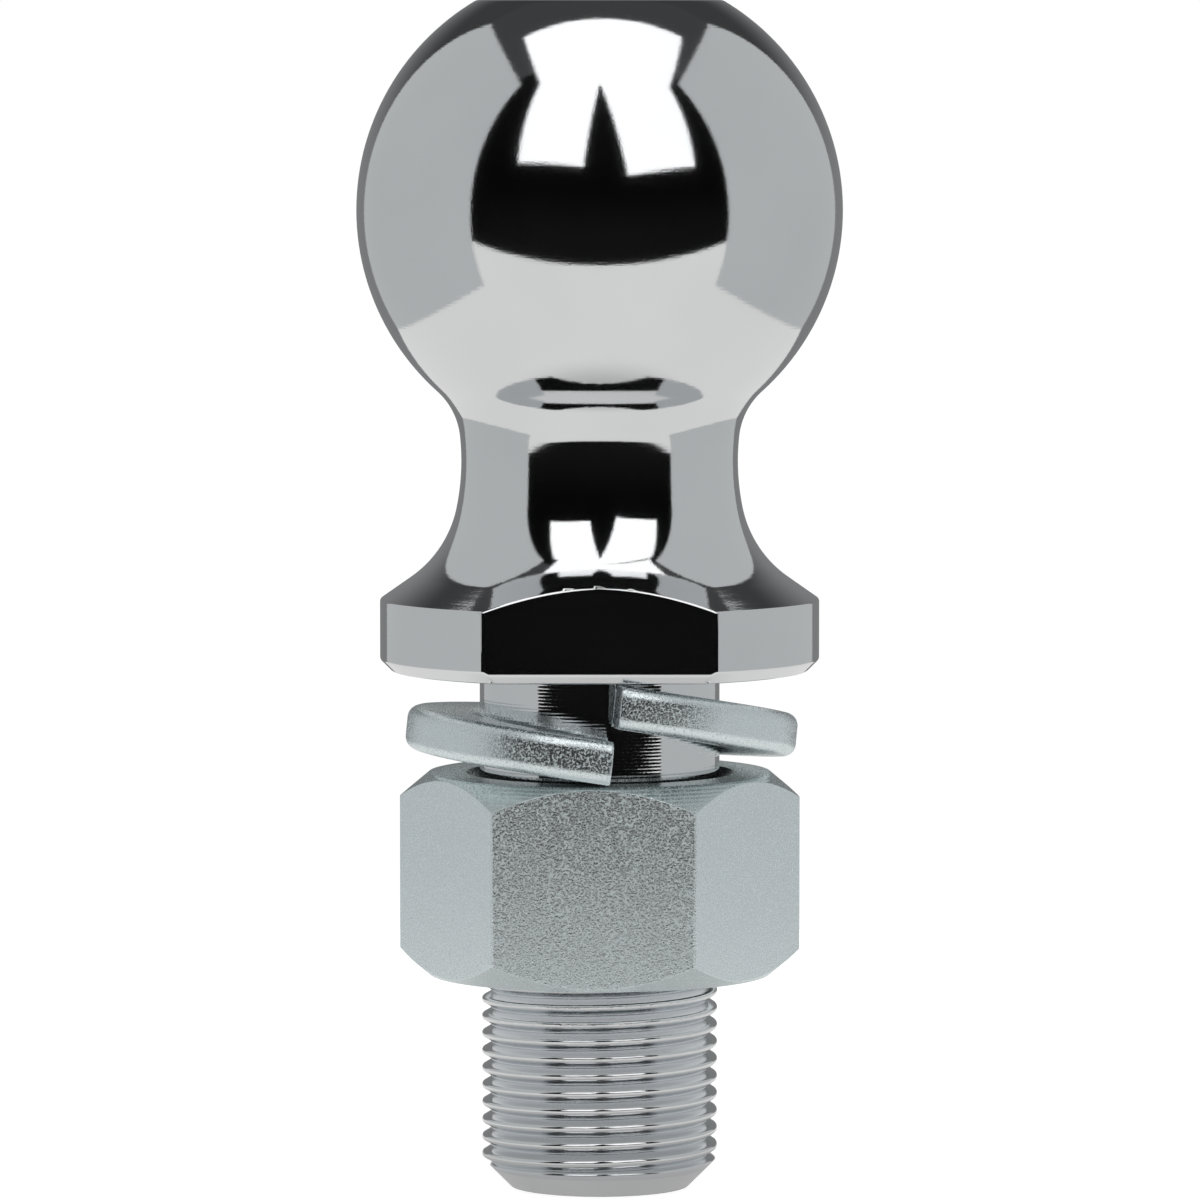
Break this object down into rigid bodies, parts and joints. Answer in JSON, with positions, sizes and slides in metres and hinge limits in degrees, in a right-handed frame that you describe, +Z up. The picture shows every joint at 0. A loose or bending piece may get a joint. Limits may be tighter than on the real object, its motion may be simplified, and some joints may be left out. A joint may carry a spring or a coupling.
{
  "type": "threaded tow ball",
  "caption": "Trailer tow ball on a waisted neck with a round flange, flats for a wrench, and a threaded shank carrying a split spring washer and a hex nut.",
  "frame": {"origin": "centre of the shank's lower end face, on which the part stands", "axes": "+Z up the axis towards the ball, -Y towards the front wrench flat and the split in the washer"},
  "size_m": [0.0508, 0.0508, 0.1244],
  "materials": {
    "chrome_plate": "polished",
    "washer_zinc": "satin",
    "nut_zinc": "satin"
  },
  "bodies": {
    "ball": {"tow_ball": "chrome_plate"},
    "washer": {"lock_washer": "washer_zinc"},
    "nut": {"hex_nut": "nut_zinc"}
  },
  "joints": [
    {"name": "nut_travel", "type": "slide", "parent": "ball", "child": "washer", "axis": [0, 0, -1], "range_m": [0, 0.0224]},
    {"name": "nut_turn", "type": "hinge", "parent": "washer", "child": "nut", "pos_m": [0, 0, 0.03305], "axis": [0, 0, -1], "range_deg": [0, 4444.7]}
  ],
  "couplings": [
    {"joint": "nut_travel", "follows": "nut_turn", "m_per_rad": 0.00028875}
  ]
}
